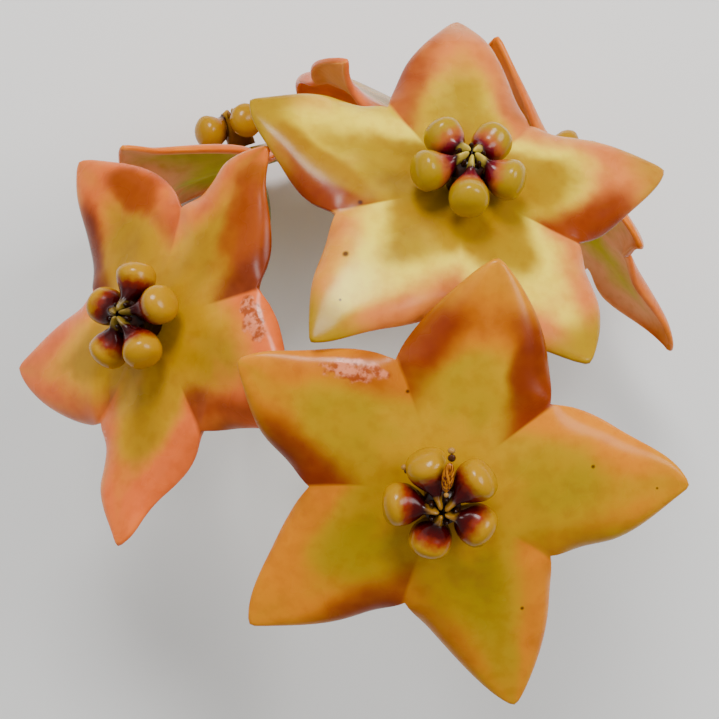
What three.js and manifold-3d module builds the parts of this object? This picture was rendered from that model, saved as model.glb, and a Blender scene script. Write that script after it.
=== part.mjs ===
// An umbel of large waxy hoya flowers, picked with its stalk and laid down with three flowers facing up.
// Millimetres, +Z up. The origin is the middle of the box's underside, on the surface that it lies on.
// It rests on three low points: the stalk's cut end and the hanging lobe tips of two flowers at the back.

import * as THREE from "three";
import { mergeVertices } from "three/addons/utils/BufferGeometryUtils.js";
import Module from "manifold-3d";

const wasm = await Module();
wasm.setup();

// Driving dimensions of one flower, which all the flowers share.
const lobeCount = 5;
const lobeTurn = 360 / lobeCount;
const sinusRadius = 14.2; // from the flower's middle to the notch between two lobes
const seatGap = 0.3; // clearance between two pieces that touch

// The corolla is one thick waxy sheet with five pointed lobes, whose edges roll back.
const corolla = {
  discSlope: -6, // degrees that the disc falls away from the middle
  discRamp: 4, // radius over which that slope sets in
  reflexStart: 9, // radius where a lobe begins to bend back
  reflexSpan: 16,
  curlStart: 19, // radius where a lobe's tip begins to curl
  curlSpan: 7,
  furrowDepth: 0.7, // drop at the notch, where two lobes meet
  bluntness: 0.07, // how round a lobe's tip is
  rollRoot: 20, // degrees that the edge turns down at the notch
  rollAngle: 78, // and the degrees that it turns down along a lobe
  rollTipEase: 0.6, // share of that roll which is lost towards the tip
  rollSetIn: 0.35, // share of the lobe over which the roll grows to full
  rollPower: 3,
  thickMiddle: 1.6,
  thickEdge: 1.0,
  thickTip: 0.75,
  ringShares: [0.24, 0.45, 0.63, 0.78, 0.9, 1], // rings of facets, as shares of the way to the edge
  sideShares: [0, 0.28, 0.56, 0.8, 0.94, 1], // facets along one side of a lobe, from notch to tip
};

// The corona is five bulbous lobes round a short column, whose inner tongues meet over its head.
// Each station along a lobe is its distance from the axis, half width, top and underside.
const corona = {
  stations: [
    { out: 0.3, wide: 0.3, top: 5.8, under: 4.7 },
    { out: 1.3, wide: 0.6, top: 5.6, under: 3.2 },
    { out: 2.2, wide: 0.95, top: 5.2, under: 2.2 },
    { out: 3.1, wide: 1.5, top: 5.2, under: 1.7 },
    { out: 4.0, wide: 1.95, top: 5.6, under: 1.3 },
    { out: 5.0, wide: 2.1, top: 5.8, under: 1.2 },
    { out: 5.8, wide: 1.8, top: 5.3, under: 1.6 },
    { out: 6.3, wide: 1.1, top: 4.4, under: 2.3 },
  ],
  sides: 8,
  columnRadius: 2.3,
  columnHeight: 4.2,
  columnSides: 10,
};

// The calyx is a star of five short sepals behind the corolla.
const calyx = { sepalReach: 4.6, notchReach: 2.4, thick: 1.1, backRadius: 1.7 };

const pedicel = { radius: 1.0, collarRadius: 1.5, collarLength: 3, straight: 5, sides: 7, steps: 10 };
const umbelHead = { radius: 3.6, sides: 12, rings: 8 };
const peduncle = { radius: 1.8, cutRadius: 1.9, sides: 10, steps: 12 };

// Where the stalk's head sits, and where its cut end rests on the surface.
const headPlace = [4.7, -4.6, 32.4];
const cutEnd = [-8.3, -34.6, 1.9];

// A lobe is its length, its degrees of reflex, curl, sweep and hook, and how full its sides are.
// Reflex bends it back along its whole length and curl only its tip; sweep and hook turn it sideways.
function lobe(length, reflex, curl, sweep, hook, fullness) {
  return { length, reflex, curl, sweep, hook, fullness };
}

// A flower has the middle of its corolla's face, the way it faces, its turn about that axis,
// the points that its pedicel bends through, and its lobes in anticlockwise order.
const flowers = [
  {
    place: [8.3, -15, 72.4],
    facing: [-0.05, -0.21, 0.98],
    turn: 2,
    bends: [[7.2, -8.6, 47.4]],
    lobes: [
      lobe(25.8, 2, -1, -8, 7, 0.77),
      lobe(24.4, -6, -2, 1, 2, 0.74),
      lobe(25, -1, -2, 11, -8, 0.66),
      lobe(26.5, -1, 1, 3, -3, 0.58),
      lobe(27.3, -7, 1, -1, -1, 0.58),
    ],
  },
  {
    place: [10.9, 17.3, 64.9],
    facing: [0.15, 0.51, 0.84],
    turn: 16,
    bends: [[9.9, 2.1, 39.4]],
    lobes: [
      lobe(25.5, 1, -4, 4, -4, 0.6),
      lobe(28.7, 15, -39, 1, -2, 0.5),
      lobe(25.6, 13, -16, -11, 8, 0.72),
      lobe(24.7, -16, 6, -8, 6, 0.4),
      lobe(23.8, -2, 6, 9, -9, 0.64),
    ],
  },
  {
    place: [-23.7, 2.4, 58.4],
    facing: [-0.62, 0.19, 0.76],
    turn: -27,
    bends: [[-13.7, -4.7, 44.4], [-5.4, -5.8, 36.4]],
    lobes: [
      lobe(22.4, -12, -2, -16, 0, 0.3),
      lobe(23.8, 12, -10, 19, -16, 0.3),
      lobe(28, 17, -16, 2, 3, 0.72),
      lobe(26.4, 2, -4, -8, 2, 0.8),
      lobe(25, 18, -12, -16, 14, 0.42),
    ],
  },
  {
    place: [9, 29.1, 36.5],
    facing: [0.51, 0.84, 0.2],
    turn: 5,
    bends: [[10.5, 10.2, 33.2], [13.4, 0.8, 33.6]],
    lobes: [
      lobe(25.1, -5, 4, -3, 8, 0.39),
      lobe(26.6, -24, 10, -1, 2, 0.82),
      lobe(25.3, -34, -29, -14, -1, 0.6),
      lobe(23.4, 31, 25, 10, 7, 0.4),
      lobe(25.6, -19, 35, -4, 5, 0.62),
    ],
  },
  {
    place: [-16.5, 27.7, 18.6],
    facing: [-0.3, 0.95, 0.14],
    turn: -30,
    bends: [[-15.2, 6.5, 20.4], [-13.4, -3.3, 25.4], [-4.2, -6.3, 29.4]],
    lobes: [
      lobe(24.7, 6, 0, -20, 6, 0.66),
      lobe(25.5, -3, -17, 12, -7, 0.59),
      lobe(23.9, -21, -27, 22, 6, 0.64),
      lobe(24.6, 3, -9, -5, -3, 0.73),
      lobe(29, 49, -24, 2, -17, 0.67),
    ],
  },
  {
    place: [28.2, 22.1, 21.7],
    facing: [0.74, 0.66, -0.14],
    turn: 13,
    bends: [[13.6, 6.1, 27]],
    lobes: [
      lobe(26.7, 1, -18, 2, -4, 0.9),
      lobe(25.5, -18, -22, -3, -3, 0.51),
      lobe(25.4, 3, 15, 2, -3, 0.67),
      lobe(25.8, 22, 8, 1, -3, 0.85),
      lobe(25.4, -11, -18, -2, 7, 0.59),
    ],
  },
];

const colours = {
  corolla: { color: 0xe2a21c, roughness: 0.25, metalness: 0 },
  corona: { color: 0xf0c000, roughness: 0.2, metalness: 0 },
  green: { color: 0x9aa03c, roughness: 0.5, metalness: 0 },
};

const radians = THREE.MathUtils.degToRad;
const clamp = THREE.MathUtils.clamp;
const halfTurn = radians(lobeTurn / 2);
const lobeRoot = sinusRadius * Math.cos(halfTurn);
const rootHalfWidth = sinusRadius * Math.sin(halfTurn);

function smooth(share) {
  const t = clamp(share, 0, 1);
  return t * t * (3 - 2 * t);
}

// Adds up a function from 0 to a limit, by the trapezium rule.
function sumUp(f, limit, steps = 16) {
  let total = 0;
  for (let i = 0; i < steps; i += 1) {
    total += (f((i / steps) * limit) + f(((i + 1) / steps) * limit)) / 2;
  }
  return (total * limit) / steps;
}

// Half the width of a lobe at a distance x from the flower's middle, before its edge is rolled.
function halfWidth(x, { length, fullness }) {
  if (x <= lobeRoot) {
    return x * Math.tan(halfTurn);
  }
  const left = 1 - clamp((x - lobeRoot) / (length - lobeRoot), 0, 1);
  const taper = Math.sqrt((left ** 2 + 2 * corolla.bluntness * left) / (1 + 2 * corolla.bluntness));
  return rootHalfWidth * taper * (1 + fullness * (1 - left));
}

// Turns a point of a lobe's flat outline into the flower's bent and rolled upper face.
function corollaPoint(lobes, k, x, y) {
  const own = lobes[k];
  const wide = Math.max(halfWidth(x, own), 1e-3);
  const v = clamp(Math.abs(y) / wide, 0, 1);
  const along = clamp((x - lobeRoot) / (own.length - lobeRoot), 0, 1);

  const full = smooth(along / corolla.rollSetIn) * (1 - corolla.rollTipEase * along * along);
  const roll = radians(corolla.rollRoot + (corolla.rollAngle - corolla.rollRoot) * full);
  const across = sumUp((t) => Math.cos(roll * t ** corolla.rollPower), v);
  const acrossAll = sumUp((t) => Math.cos(roll * t ** corolla.rollPower), 1);
  const fall = sumUp((t) => Math.sin(roll * t ** corolla.rollPower), v);
  const inLobe = smooth((x - lobeRoot + 3) / 3.5);
  const furrow = corolla.furrowDepth * Math.min(x / lobeRoot, 1) ** 2 * (1 - Math.cos(Math.PI * v)) / 2;
  const side = Math.sign(y) * wide * (v + inLobe * (across / acrossAll - v));
  const lift = -(furrow + inLobe * (wide * fall - furrow));

  const r = Math.hypot(x, side);
  const angle = Math.atan2(side, x);
  const next = lobes[(k + (angle >= 0 ? 1 : lobeCount - 1)) % lobeCount];
  const share = clamp(Math.abs(angle) / halfTurn, 0, 1) ** 4 / 2;
  const mix = (key) => own[key] + (next[key] - own[key]) * share;
  const reflex = mix("reflex");
  const curl = mix("curl");
  const slope = (t) => radians(
    corolla.discSlope * Math.min(t / corolla.discRamp, 1)
    + reflex * smooth((t - corolla.reflexStart) / corolla.reflexSpan)
    + curl * smooth((t - corolla.curlStart) / corolla.curlSpan),
  );
  const out = sumUp((t) => Math.cos(slope(t)), r) - Math.sin(slope(r)) * lift;
  const up = sumUp((t) => Math.sin(slope(t)), r) + Math.cos(slope(r)) * lift;
  const bent = clamp((r - corolla.reflexStart) / corolla.reflexSpan, 0, 1.3) ** 2;
  const aside = mix("sweep") * bent + mix("hook") * smooth((r - corolla.curlStart) / corolla.curlSpan);
  const turn = radians(lobeTurn * k + aside) + angle;
  return new THREE.Vector3(out * Math.cos(turn), out * Math.sin(turn), up);
}

// Builds a closed geometry from vertices and triangles.
function solidFrom(points, triangles) {
  const geometry = new THREE.BufferGeometry();
  geometry.setAttribute("position", new THREE.Float32BufferAttribute(points.flatMap((p) => p.toArray()), 3));
  geometry.setIndex(triangles.flat());
  return geometry;
}

// Joins rings of points that have the same count into a closed body with a flat cap at each end.
function loft(rings) {
  const sides = rings[0].length;
  const points = rings.flat();
  const triangles = [];
  for (let i = 0; i + 1 < rings.length; i += 1) {
    for (let j = 0; j < sides; j += 1) {
      const a = i * sides + j;
      const b = i * sides + (j + 1) % sides;
      triangles.push([a, b, b + sides], [a, b + sides, a + sides]);
    }
  }
  [0, rings.length - 1].forEach((i) => {
    const hub = points.length;
    points.push(rings[i].reduce((sum, p) => sum.add(p), new THREE.Vector3()).divideScalar(sides));
    for (let j = 0; j < sides; j += 1) {
      const a = i * sides + j;
      const b = i * sides + (j + 1) % sides;
      triangles.push(i === 0 ? [hub, b, a] : [hub, a, b]);
    }
  });
  return solidFrom(points, triangles);
}

// A round stem along a curve, with a radius for each share of its length.
function stem(curve, radiusAt, sides, steps) {
  const frames = curve.computeFrenetFrames(steps, false);
  const rings = [];
  for (let i = 0; i <= steps; i += 1) {
    const middle = curve.getPointAt(i / steps);
    const ring = [];
    for (let j = 0; j < sides; j += 1) {
      const a = (j / sides) * 2 * Math.PI;
      ring.push(middle.clone()
        .addScaledVector(frames.normals[i], Math.cos(a) * radiusAt(i / steps))
        .addScaledVector(frames.binormals[i], Math.sin(a) * radiusAt(i / steps)));
    }
    rings.push(ring);
  }
  return loft(rings);
}

function toManifold(geometry) {
  const bare = geometry.clone();
  bare.deleteAttribute("normal");
  bare.deleteAttribute("uv");
  const merged = mergeVertices(bare);
  const vertProperties = new Float32Array(merged.getAttribute("position").array);
  const triVerts = new Uint32Array(merged.getIndex().array);
  return new wasm.Manifold(new wasm.Mesh({ numProp: 3, vertProperties, triVerts }));
}

function fuse(geometries) {
  const joined = geometries.map(toManifold).reduce((sum, body) => sum.add(body));
  const mesh = joined.getMesh();
  const geometry = new THREE.BufferGeometry();
  geometry.setAttribute("position", new THREE.Float32BufferAttribute(mesh.vertProperties, 3));
  geometry.setIndex(Array.from(mesh.triVerts));
  return geometry;
}

// The star outline of a corolla, one entry for each column of facets.
function outlineColumns(lobes) {
  const columns = [];
  lobes.forEach((own, k) => {
    const side = corolla.sideShares.map((q) => lobeRoot + q * (own.length - lobeRoot));
    side.forEach((x) => columns.push({ k, x, y: -halfWidth(x, own) }));
    side.slice(1, -1).reverse().forEach((x) => columns.push({ k, x, y: halfWidth(x, own) }));
  });
  return columns;
}

// The corolla's two faces have the same facets, so that its thickness is even.
function corollaGeometry(lobes) {
  const columns = outlineColumns(lobes);
  const count = columns.length;
  const upper = [corollaPoint(lobes, 0, 0, 0)];
  const thickness = [corolla.thickMiddle];
  corolla.ringShares.forEach((share) => {
    columns.forEach(({ k, x, y }) => {
      upper.push(corollaPoint(lobes, k, x * share, y * share));
      const towardsTip = smooth((x * share - lobeRoot) / (lobes[k].length - lobeRoot));
      const edge = corolla.thickEdge + (corolla.thickTip - corolla.thickEdge) * towardsTip;
      thickness.push(corolla.thickMiddle + (edge - corolla.thickMiddle) * smooth(share));
    });
  });
  const face = [];
  for (let j = 0; j < count; j += 1) {
    face.push([0, 1 + j, 1 + (j + 1) % count]);
  }
  for (let i = 0; i + 1 < corolla.ringShares.length; i += 1) {
    for (let j = 0; j < count; j += 1) {
      const a = 1 + i * count + j;
      const b = 1 + i * count + (j + 1) % count;
      face.push([a, a + count, b + count], [a, b + count, b]);
    }
  }
  const sheet = solidFrom(upper, face);
  sheet.computeVertexNormals();
  const normal = sheet.getAttribute("normal");
  const lower = upper.map((p, i) => new THREE.Vector3()
    .fromBufferAttribute(normal, i).multiplyScalar(-thickness[i]).add(p));
  const shift = upper.length;
  const back = face.map(([a, b, c]) => [a + shift, c + shift, b + shift]);
  const rim = [];
  for (let j = 0; j < count; j += 1) {
    const a = shift - count + j;
    const b = shift - count + (j + 1) % count;
    rim.push([a, a + shift, b + shift], [a, b + shift, b]);
  }
  return solidFrom([...upper, ...lower], [...face, ...back, ...rim]);
}

function coronaGeometry() {
  const bodies = [];
  for (let k = 0; k < lobeCount; k += 1) {
    const turn = radians(lobeTurn * (k + 0.5));
    const rings = corona.stations.map(({ out, wide, top, under }) => {
      const ring = [];
      for (let j = 0; j < corona.sides; j += 1) {
        const a = (j / corona.sides) * 2 * Math.PI;
        const side = wide * Math.cos(a);
        const up = (top + under) / 2 + ((top - under) / 2) * Math.sin(a);
        ring.push(new THREE.Vector3(
          out * Math.cos(turn) - side * Math.sin(turn),
          out * Math.sin(turn) + side * Math.cos(turn),
          up,
        ));
      }
      return ring;
    });
    bodies.push(loft(rings));
  }
  const { columnRadius, columnHeight, columnSides } = corona;
  const column = new THREE.CylinderGeometry(columnRadius * 0.8, columnRadius, columnHeight, columnSides);
  column.rotateX(Math.PI / 2);
  column.translate(0, 0, seatGap + columnHeight / 2);
  bodies.push(column);
  return fuse(bodies);
}

// The calyx follows the corolla's back, so it is dished in the same way.
function calyxGeometry() {
  const face = -corolla.thickMiddle - seatGap;
  const rings = [[], [], []];
  for (let j = 0; j < 2 * lobeCount; j += 1) {
    const a = radians((lobeTurn / 2) * (j + 1));
    const reach = j % 2 === 0 ? calyx.sepalReach : calyx.notchReach;
    const sag = Math.tan(radians(-corolla.discSlope)) * reach;
    const at = (radius, z) => new THREE.Vector3(radius * Math.cos(a), radius * Math.sin(a), z);
    rings[0].push(at(calyx.backRadius, face - calyx.thick * 1.9));
    rings[1].push(at(reach, face - sag - calyx.thick * 0.65));
    rings[2].push(at(reach, face - sag));
  }
  return loft(rings);
}

function flowerGroup(flower) {
  const n = new THREE.Vector3(...flower.facing).normalize();
  const across = Math.abs(n.x) < 0.9 ? new THREE.Vector3(1, 0, 0) : new THREE.Vector3(0, 1, 0);
  const u = across.addScaledVector(n, -across.dot(n)).normalize();
  const v = new THREE.Vector3().crossVectors(n, u);
  const group = new THREE.Group();
  group.quaternion.setFromRotationMatrix(new THREE.Matrix4().makeBasis(u, v, n));
  group.rotateZ(radians(flower.turn));
  group.position.set(...flower.place);
  return group;
}

// The pedicel leaves the flower's back straight, bows round what is in its way and enters the stalk's head.
function pedicelGeometry(flower) {
  const n = new THREE.Vector3(...flower.facing).normalize();
  const head = new THREE.Vector3(...headPlace);
  const backDepth = corolla.thickMiddle + 2 * seatGap + calyx.thick * 1.9;
  const start = new THREE.Vector3(...flower.place).addScaledVector(n, -backDepth);
  const bends = flower.bends.map((p) => new THREE.Vector3(...p));
  const away = bends.at(-1).clone().sub(head).normalize();
  const end = head.clone().addScaledVector(away, umbelHead.radius + seatGap);
  const straight = start.clone().addScaledVector(n, -pedicel.straight);
  const curve = new THREE.CatmullRomCurve3([start, straight, ...bends, end], false, "centripetal");
  const long = curve.getLength();
  const radiusAt = (share) => {
    const swell = Math.max(0, 1 - (share * long) / pedicel.collarLength);
    return pedicel.radius + (pedicel.collarRadius - pedicel.radius) * smooth(swell);
  };
  return stem(curve, radiusAt, pedicel.sides, pedicel.steps);
}

// The stalk swells into the head that the pedicels spring from, and its other end is cut across.
function peduncleGeometry() {
  const head = new THREE.Vector3(...headPlace);
  const end = new THREE.Vector3(...cutEnd);
  const drop = head.clone().sub(end);
  const curve = new THREE.CubicBezierCurve3(
    head,
    new THREE.Vector3(head.x - drop.x * 0.2, head.y - drop.y * 0.3, head.z - drop.z * 0.75),
    new THREE.Vector3(end.x + drop.x * 0.4, end.y + drop.y * 0.35, end.z + 1),
    end,
  );
  const radiusAt = (share) => peduncle.radius + (peduncle.cutRadius - peduncle.radius) * share;
  const stalk = stem(curve, radiusAt, peduncle.sides, peduncle.steps);
  const knob = new THREE.SphereGeometry(umbelHead.radius, umbelHead.sides, umbelHead.rings);
  knob.translate(...headPlace);
  return fuse([knob, stalk]);
}

function named(name, geometry, look) {
  const mesh = new THREE.Mesh(geometry, new THREE.MeshStandardMaterial(look));
  mesh.name = name;
  return mesh;
}

const umbel = new THREE.Group();
umbel.add(named("peduncle", peduncleGeometry(), colours.green));
flowers.forEach((flower, i) => {
  const group = flowerGroup(flower);
  group.add(named(`corolla_${i + 1}`, corollaGeometry(flower.lobes), colours.corolla));
  group.add(named(`corona_${i + 1}`, coronaGeometry(), colours.corona));
  group.add(named(`calyx_${i + 1}`, calyxGeometry(), colours.green));
  umbel.add(group);
  umbel.add(named(`pedicel_${i + 1}`, pedicelGeometry(flower), colours.green));
});

export default umbel;
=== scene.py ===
# An umbel of large waxy hoya flowers, lying on its cut stalk and on the lobe tips of two hanging blooms.
import math
import bpy
import numpy as np
from mathutils import Matrix, Vector


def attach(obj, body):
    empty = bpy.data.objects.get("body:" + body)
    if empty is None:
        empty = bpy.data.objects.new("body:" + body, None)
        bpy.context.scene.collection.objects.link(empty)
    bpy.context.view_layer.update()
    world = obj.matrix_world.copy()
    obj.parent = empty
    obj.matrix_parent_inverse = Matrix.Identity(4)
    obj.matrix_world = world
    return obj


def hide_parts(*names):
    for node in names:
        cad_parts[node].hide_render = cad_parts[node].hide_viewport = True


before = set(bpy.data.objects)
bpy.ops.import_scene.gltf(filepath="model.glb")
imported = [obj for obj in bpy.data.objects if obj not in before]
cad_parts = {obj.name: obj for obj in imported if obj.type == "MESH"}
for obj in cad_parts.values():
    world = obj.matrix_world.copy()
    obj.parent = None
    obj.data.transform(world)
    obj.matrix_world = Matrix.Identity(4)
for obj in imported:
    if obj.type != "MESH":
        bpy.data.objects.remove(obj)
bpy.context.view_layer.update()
print("frame loaded:", len(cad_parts), "nodes")

mm = 0.001


def smooth(share):
    t = np.clip(share, 0, 1)
    return t * t * (3 - 2 * t)


def linearColour(hexValue):
    channels = [((hexValue >> shift) & 255) / 255 for shift in (16, 8, 0)]
    return (*[c / 12.92 if c <= 0.04045 else ((c + 0.055) / 1.055) ** 2.4 for c in channels], 1.0)


# Adds a node with its own properties, and fills its inputs from sockets or plain values.
def addNode(tree, kind, settings=None, inputs=None):
    node = tree.nodes.new(kind)
    for key, value in (settings or {}).items():
        setattr(node, key, value)
    for key, value in (inputs or {}).items():
        if isinstance(value, bpy.types.NodeSocket):
            tree.links.new(value, node.inputs[key])
        else:
            node.inputs[key].default_value = value
    return node


def shapeCurve(node, points):
    # points run from 0 to 1 both ways
    curve = node.mapping.curves[0]
    curve.points[0].location = points[0]
    curve.points[-1].location = points[-1]
    for x, y in points[1:-1]:
        curve.points.new(x, y)
    node.mapping.update()


def fillRamp(node, stops):
    band = node.color_ramp
    band.elements[0].position, band.elements[0].color = stops[0]
    band.elements[-1].position, band.elements[-1].color = stops[-1]
    for position, colour in stops[1:-1]:
        band.elements.new(position).color = colour


# Sizes of one flower in millimetres and degrees.
flowerShape = {
    "lobeCount": 5,
    "sinusRadius": 14.2,      # from the middle to the notch between two lobes
    "leastHalfWidth": 0.001,
    "discSlope": -6,
    "discRamp": 4,
    "reflexStart": 9,
    "reflexSpan": 16,
    "sweepLimit": 1.3,        # in reflex spans, where a lobe stops sweeping further aside
    "curlStart": 19,
    "curlSpan": 7,
    "furrowDepth": 0.7,
    "bluntness": 0.07,
    "rollRoot": 20,
    "rollAngle": 78,
    "rollLead": 3,            # how far inside the notches the edge begins to roll
    "rollBlend": 3.5,
    "rollTipEase": 0.6,
    "rollSetIn": 0.35,
    "rollPower": 3,
    "neighbourPower": 4,      # how sharply one lobe's bend gives way to the next one's
    "thickMiddle": 1.6,
    "thickEdge": 1.0,
    "thickTip": 0.75,
    "rings": 46,              # rows of faces from the middle to the edge
    "ringCrowding": 1.4,      # above 1, the rows lie closer together at the edge
    "sideColumns": 26,        # faces along one side of a lobe
    "tipCrowding": 1.3,
    "rimRows": 6,             # faces round the edge's thickness
    "notchBulge": 0.35,       # how round the edge is in the notches, where 1 is half round
    "bulgeRise": 6,
}

# Where a lobe's shares of flush, deep colour (painted shade), paleness (paler wax with painted light) and tip
# begin in its paint.
paintColumns = {"flush": 0, "deepShade": 3, "paleAndLit": 6, "tip": 8}


# How a lobe is painted: its flush and its deep colour each have a share for the clockwise side,
# the anticlockwise side and the outer middle; the deep colour is painted shade where the lobe turns
# from the light, mostly on its rolled flanks. Then come how pale its two sides stay, which is partly
# paler wax and partly painted light on the flank that faces the light, and its tip.
def lobePaint(flush, deepShade, paleAndLit, tip):
    return (*flush, *deepShade, *paleAndLit, tip)


# The even paint of a flower that hangs behind the others.
def hangingPaint(tip):
    return [lobePaint((0.9, 0.9, 0.6), (0.3, 0.3, 0.0), (0, 0), tip)] * flowerShape["lobeCount"]


plainCrown = {"look": "honey", "lean": 0, "reach": 6.4, "halfWidth": 2.15, "litter": False}
noPatches = {"paintedSheen": [], "shadeAndDarkTone": []}

# Each lobe is its length, reflex, curl, sweep, hook and fullness.
# A patch or a speck is given by its lobe and its place along and across it, then its half length,
# half width and lean for a patch, or its radius for a speck. The milky patches are glossier wax that
# carries a painted reflection.
# The dark patches are painted shade where a flank turns from the light, together with a darker tone of the
# wax.
flowers = [
    {
        "place": (8.3, -15, 72.4),
        "facing": (-0.05, -0.21, 0.98),
        "turn": 2,
        "bends": [(7.2, -8.6, 47.4)],
        "lobes": [
            (25.8, 2, -1, -8, 7, 0.77),
            (24.4, -6, -2, 1, 2, 0.74),
            (25, -1, -2, 11, -8, 0.66),
            (26.5, -1, 1, 3, -3, 0.58),
            (27.3, -7, 1, -1, -1, 0.58),
        ],
        "paint": [
            lobePaint((0.4, 1.0, 0.3), (0.5, 0.0, 0.0), (0, 0), 0.6),
            lobePaint((0.8, 0.7, 1.0), (1.0, 0.9, 0.6), (0, 0), 0.6),
            lobePaint((1.0, 0.6, 0.3), (0.5, 1.0, 0.1), (0, 0), 0.4),
            lobePaint((1.0, 0.7, 0.7), (0.2, 0.8, 0.0), (0, 0), 0.4),
            lobePaint((0.6, 1.0, 0.1), (0.4, 0.3, 0.0), (0, 0), 0.6),
        ],
        "patches": {"paintedSheen": [(2, 14.3, -5.1, 3.8, 1.3, 24)], "shadeAndDarkTone": [(1, 14.5, -4.6, 3.5, 2.2, 0)]},
        "specks": [(0, 15.8, 1.8, 0.2), (0, 22.6, -0.2, 0.13), (4, 16.0, 3.2, 0.2), (2, 8.7, -6.3, 0.2)],
        "look": "amber",
        "crown": {"look": "amber", "lean": 10, "reach": 6.2, "halfWidth": 2.25, "litter": True},
    },
    {
        "place": (10.9, 17.3, 64.9),
        "facing": (0.15, 0.51, 0.84),
        "turn": 16,
        "bends": [(9.9, 2.1, 39.4)],
        "lobes": [
            (25.5, 1, -4, 4, -4, 0.6),
            (28.7, 15, -39, 1, -2, 0.5),
            (25.6, 13, -16, -11, 8, 0.72),
            (24.7, -16, 6, -8, 6, 0.4),
            (23.8, -2, 6, 9, -9, 0.64),
        ],
        "paint": [
            lobePaint((0.9, 0.75, 0.8), (1.0, 0.1, 0.15), (0.3, 1.0), 0.6),
            lobePaint((0.9, 0.9, 0.8), (0.35, 0.8, 0.1), (0.3, 0.2), 0.3),
            lobePaint((0.3, 0.5, 0.1), (0.0, 1.0, 0.0), (1.0, 0), 1.0),
            lobePaint((0.6, 0.9, 0.1), (0.0, 0.25, 0.0), (1.0, 1.0), 0.9),
            lobePaint((0.8, 0.9, 0.3), (0.2, 0.0, 0.0), (1.0, 1.0), 0.9),
        ],
        "patches": {"paintedSheen": [], "shadeAndDarkTone": [(2, 16.0, 3.0, 8.0, 1.6, -12)]},
        "specks": [(3, 15.1, -3.6, 0.35), (2, 9.6, 6.1, 0.3), (3, 19.6, -0.2, 0.15)],
        "look": "primrose",
        "crown": {**plainCrown, "look": "primrose", "lean": -3},
    },
    {
        "place": (-23.7, 2.4, 58.4),
        "facing": (-0.62, 0.19, 0.76),
        "turn": -27,
        "bends": [(-13.7, -4.7, 44.4), (-5.4, -5.8, 36.4)],
        "lobes": [
            (22.4, -12, -2, -16, 0, 0.3),
            (23.8, 12, -10, 19, -16, 0.3),
            (28, 17, -16, 2, 3, 0.72),
            (26.4, 2, -4, -8, 2, 0.8),
            (25, 18, -12, -16, 14, 0.42),
        ],
        "paint": [
            lobePaint((0.9, 1.0, 0.6), (0.8, 0.2, 0.2), (0, 0.2), 0.0),
            lobePaint((0.9, 0.7, 0.5), (1.0, 0.1, 0.5), (0, 0), 0.3),
            lobePaint((0.9, 0.7, 0.6), (0.5, 1.0, 0.2), (0.2, 0), 0.3),
            lobePaint((0.8, 0.8, 0.4), (0.0, 0.5, 0.0), (0.7, 0.3), 0.2),
            lobePaint((0.8, 1.0, 0.7), (0.1, 0.2, 0.0), (0, 0), 0.2),
        ],
        "patches": {
            "paintedSheen": [(0, 12.7, 5.2, 3.0, 1.5, -42)],
            "shadeAndDarkTone": [(2, 18.0, -3.2, 4.5, 2.4, 20), (1, 16.5, -2.6, 6.5, 3.4, 0)],
        },
        "specks": [],
        "look": "peach",
        "crown": {**plainCrown, "look": "peach"},
    },
    {
        "place": (9, 29.1, 36.5),
        "facing": (0.51, 0.84, 0.2),
        "turn": 5,
        "bends": [(10.5, 10.2, 33.2), (13.4, 0.8, 33.6)],
        "lobes": [
            (25.1, -5, 4, -3, 8, 0.39),
            (26.6, -24, 10, -1, 2, 0.82),
            (25.3, -34, -29, -14, -1, 0.6),
            (23.4, 31, 25, 10, 7, 0.4),
            (25.6, -19, 35, -4, 5, 0.62),
        ],
        "paint": hangingPaint(0.3),
        "patches": noPatches,
        "specks": [],
        "look": "russet",
        "crown": plainCrown,
    },
    {
        "place": (-16.5, 27.7, 18.6),
        "facing": (-0.3, 0.95, 0.14),
        "turn": -30,
        "bends": [(-15.2, 6.5, 20.4), (-13.4, -3.3, 25.4), (-4.2, -6.3, 29.4)],
        "lobes": [
            (24.7, 6, 0, -20, 6, 0.66),
            (25.5, -3, -17, 12, -7, 0.59),
            (23.9, -21, -27, 22, 6, 0.64),
            (24.6, 3, -9, -5, -3, 0.73),
            (29, 49, -24, 2, -17, 0.67),
        ],
        "paint": hangingPaint(0.3),
        "patches": noPatches,
        "specks": [],
        "look": "mossy",
        "crown": plainCrown,
    },
    {
        "place": (28.2, 22.1, 21.7),
        "facing": (0.74, 0.66, -0.14),
        "turn": 13,
        "bends": [(13.6, 6.1, 27)],
        "lobes": [
            (26.7, 1, -18, 2, -4, 0.9),
            (25.5, -18, -22, -3, -3, 0.51),
            (25.4, 3, 15, 2, -3, 0.67),
            (25.8, 22, 8, 1, -3, 0.85),
            (25.4, -11, -18, -2, 7, 0.59),
        ],
        "paint": hangingPaint(0.9),
        "patches": noPatches,
        "specks": [],
        "look": "umber",
        "crown": plainCrown,
    },
]

halfTurn = math.pi / flowerShape["lobeCount"]
lobeRoot = flowerShape["sinusRadius"] * math.cos(halfTurn)
rootHalfWidth = flowerShape["sinusRadius"] * math.sin(halfTurn)


# Adds up a function from 0 to each limit, by the trapezium rule.
def sumUp(f, limit, steps=16):
    values = f(limit[..., None] * np.linspace(0, 1, steps + 1))
    return (values[..., 1:] + values[..., :-1]).sum(axis=-1) / 2 / steps * limit


# Half the width of a lobe at a distance x from the middle, before its edge is rolled.
def halfWidth(x, length, fullness):
    blunt = flowerShape["bluntness"]
    left = 1 - np.clip((x - lobeRoot) / (length - lobeRoot), 0, 1)
    taper = np.sqrt((left ** 2 + 2 * blunt * left) / (1 + 2 * blunt))
    inLobe = rootHalfWidth * taper * (1 + fullness * (1 - left))
    return np.where(x <= lobeRoot, x * math.tan(halfTurn), inLobe)


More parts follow.
